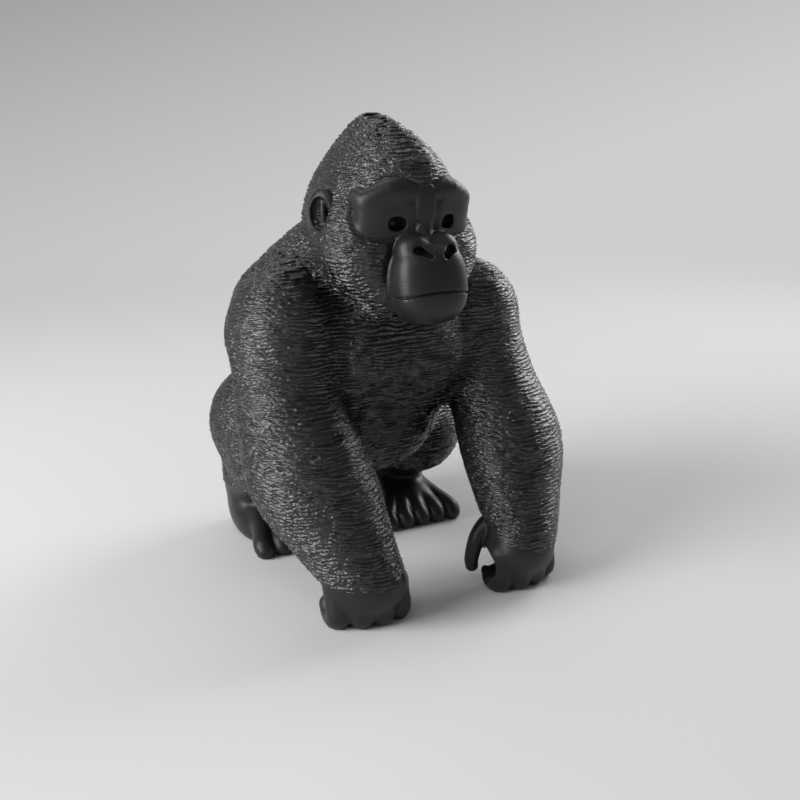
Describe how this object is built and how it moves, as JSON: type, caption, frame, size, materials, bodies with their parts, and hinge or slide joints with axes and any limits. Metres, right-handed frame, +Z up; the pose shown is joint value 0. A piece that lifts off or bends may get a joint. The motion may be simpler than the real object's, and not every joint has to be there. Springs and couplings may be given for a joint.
{
  "type": "gorilla figurine",
  "caption": "Standing gorilla figurine on all fours, cast in one piece, resting on its knuckles and flat soles.",
  "frame": {"origin": "centre of the bounding box seen from above, on the ground plane under the soles and knuckles", "axes": "+Z up towards the crest of the head, the face looks along -Y, and the gorilla's left side is at +X"},
  "size_m": [0.1125, 0.1245, 0.1501],
  "materials": {
    "black_plastic": "satin black printed plastic"
  },
  "bodies": {
    "root": {"gorilla": "black_plastic"}
  },
  "joints": []
}
